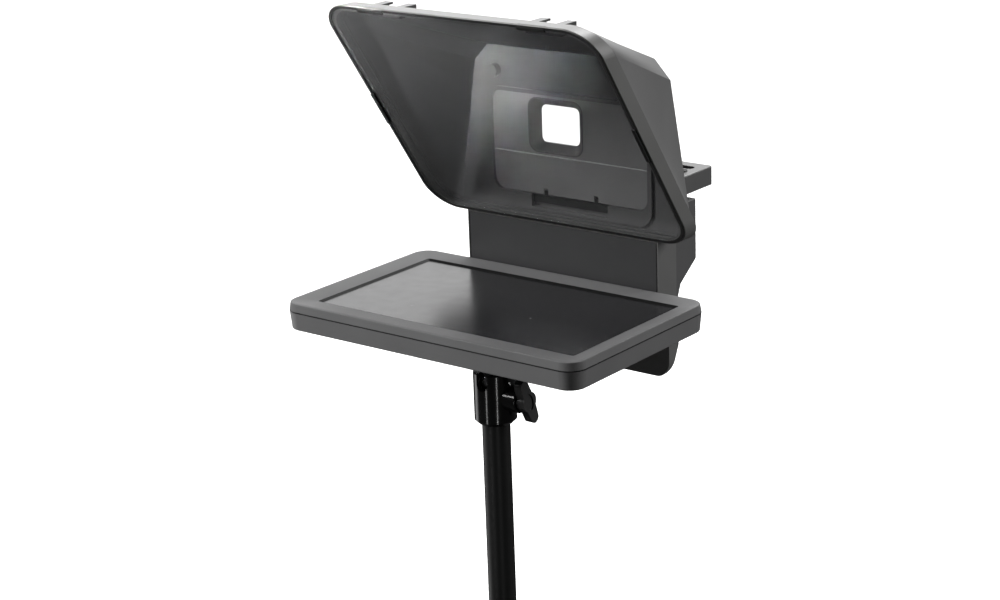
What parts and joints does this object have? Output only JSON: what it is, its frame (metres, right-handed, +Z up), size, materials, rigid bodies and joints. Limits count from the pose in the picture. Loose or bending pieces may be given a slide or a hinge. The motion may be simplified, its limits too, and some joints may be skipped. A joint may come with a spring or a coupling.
{
  "type": "desktop teleprompter",
  "caption": "Flat screen under a sloping half-mirror glass in a hood, with a camera tray behind and a ball head on a round pole.",
  "frame": {"origin": "centre of the pole's lower end, on the pole's axis, where its threaded socket opens", "axes": "+Z up the pole, +X to the right seen from the front, -Y towards the presenter and +Y towards the camera"},
  "size_m": [0.229, 0.216, 0.4532],
  "materials": {
    "case_plastic": "fine matte texture",
    "frame_plastic": "fine matte texture",
    "screen_glass": "glossy, black when off",
    "lcd_layers": "black",
    "backlight_film": "white film",
    "circuit_board": "solder mask",
    "chip_plastic": "moulded",
    "brass_insert": "knurled",
    "screw_steel": "black zinc",
    "spine_plastic": "fine matte texture",
    "panel_plastic": "fine matte texture",
    "bracket_steel": "zinc plated",
    "socket_steel": "nickel",
    "rim_plastic": "fine matte texture",
    "clip_plastic": "satin",
    "beam_splitter_glass": "half-mirror coating",
    "gasket_rubber": "matte",
    "hood_plastic": "fine matte texture",
    "plate_plastic": "fine matte texture",
    "lens_frame_plastic": "matte black",
    "seal_foam": "foam",
    "shoe_metal": "black anodised",
    "tray_plastic": "fine matte texture",
    "stem_aluminium": "black anodised",
    "pad_rubber": "matte",
    "guide_plastic": "acetal",
    "brass_pad": "turned",
    "knob_plastic": "satin",
    "collar_steel": "black zinc",
    "camera_screw_steel": "turned",
    "pole_paint": "gloss black",
    "plug_aluminium": "turned",
    "head_paint": "gloss black",
    "seat_nylon": "nylon",
    "ball_metal": "dark anodised",
    "wheel_metal": "black anodised"
  },
  "bodies": {
    "stand": {"pole_tube": "pole_paint", "pole_foot_plug": "plug_aluminium", "pole_top_plug": "plug_aluminium", "head_body": "head_paint", "pole_bolt": "screw_steel", "ball_seat": "seat_nylon"},
    "ball": {"ball_stem": "ball_metal"},
    "wheel_washer": {"wheel_pad": "pad_rubber"},
    "wheel": {"lock_wheel": "wheel_metal"},
    "brake": {"ball_brake": "seat_nylon"},
    "wing": {"wing_knob": "knob_plastic", "clamp_screw": "screw_steel"},
    "tray": {"camera_tray": "tray_plastic", "tray_stem": "stem_aluminium", "tray_pads": "pad_rubber"},
    "collar": {"screw_collar": "collar_steel"},
    "screw": {"camera_screw": "camera_screw_steel"},
    "stem_brake": {"stem_brake": "brass_pad"},
    "tray_knob": {"tray_clamp_knob": "knob_plastic", "tray_clamp_screw": "screw_steel"},
    "latch": {"plate_latch": "clip_plastic"},
    "prompter": {"display_case": "case_plastic", "display_frame": "frame_plastic", "screen_glass": "screen_glass", "lcd_panel": "lcd_layers", "backlight": "backlight_film", "display_board": "circuit_board", "board_chips": "chip_plastic", "thread_insert": "brass_insert", "case_screws": "screw_steel", "spine_front_shell": "spine_plastic", "spine_front_panel": "panel_plastic", "spine_back_shell": "spine_plastic", "spine_bracket": "bracket_steel", "port_board": "circuit_board", "usb_socket": "socket_steel", "spine_screws": "screw_steel", "hood_rim": "rim_plastic", "glass_clips": "clip_plastic", "beam_splitter": "beam_splitter_glass", "glass_gasket": "gasket_rubber", "hood_shell": "hood_plastic", "back_plate": "plate_plastic", "lower_plate": "plate_plastic", "lens_frame": "lens_frame_plastic", "light_seal": "seal_foam", "plate_screws": "screw_steel", "shoe_left": "shoe_metal", "shoe_right": "shoe_metal", "stem_guide": "guide_plastic"}
  },
  "joints": [
    {"name": "ball_tilt", "type": "hinge", "parent": "stand", "child": "ball", "pos_m": [0, 0, 0.2165], "axis": [1, 0, 0], "range_deg": [-28, 75]},
    {"name": "prompter_turn", "type": "hinge", "parent": "ball", "child": "prompter", "pos_m": [0, 0, 0.2165], "axis": [0, 0, 1], "continuous": true},
    {"name": "wheel_advance", "type": "slide", "parent": "ball", "child": "wheel_washer", "axis": [0, 0, 1], "range_m": [-0.00127, 0]},
    {"name": "wheel_turn", "type": "hinge", "parent": "wheel_washer", "child": "wheel", "pos_m": [0, 0, 0.246], "axis": [0, 0, 1], "range_deg": [-360, 0]},
    {"name": "brake_advance", "type": "slide", "parent": "stand", "child": "brake", "axis": [1, 0, 0], "range_m": [0, 0.0008]},
    {"name": "wing_turn", "type": "hinge", "parent": "brake", "child": "wing", "pos_m": [0.02, 0, 0.2065], "axis": [1, 0, 0], "range_deg": [0, 360]},
    {"name": "tray_height", "type": "slide", "parent": "prompter", "child": "tray", "axis": [0, 0, 1], "range_m": [0, 0.024]},
    {"name": "camera_screw_slide", "type": "slide", "parent": "tray", "child": "collar", "axis": [1, 0, 0], "range_m": [-0.058, 0.058]},
    {"name": "camera_screw_turn", "type": "hinge", "parent": "collar", "child": "screw", "pos_m": [0, 0.1335, 0.328], "axis": [0, 0, 1], "continuous": true},
    {"name": "stem_brake_advance", "type": "slide", "parent": "prompter", "child": "stem_brake", "axis": [0, 1, 0], "range_m": [0, 0.0008]},
    {"name": "tray_knob_turn", "type": "hinge", "parent": "stem_brake", "child": "tray_knob", "pos_m": [0, 0.12, 0.305], "axis": [0, 1, 0], "range_deg": [0, 360]},
    {"name": "latch_slide", "type": "slide", "parent": "prompter", "child": "latch", "axis": [0, 0, 1], "range_m": [-0.0024, 0], "stiffness_N_per_m": 400, "springref_m": 0.001}
  ],
  "couplings": [
    {"joint": "wheel_advance", "follows": "wheel_turn", "m_per_rad": 0.00020213},
    {"joint": "wing_turn", "follows": "brake_advance", "rad_per_m": 7853.9},
    {"joint": "tray_knob_turn", "follows": "stem_brake_advance", "rad_per_m": 7853.9}
  ]
}
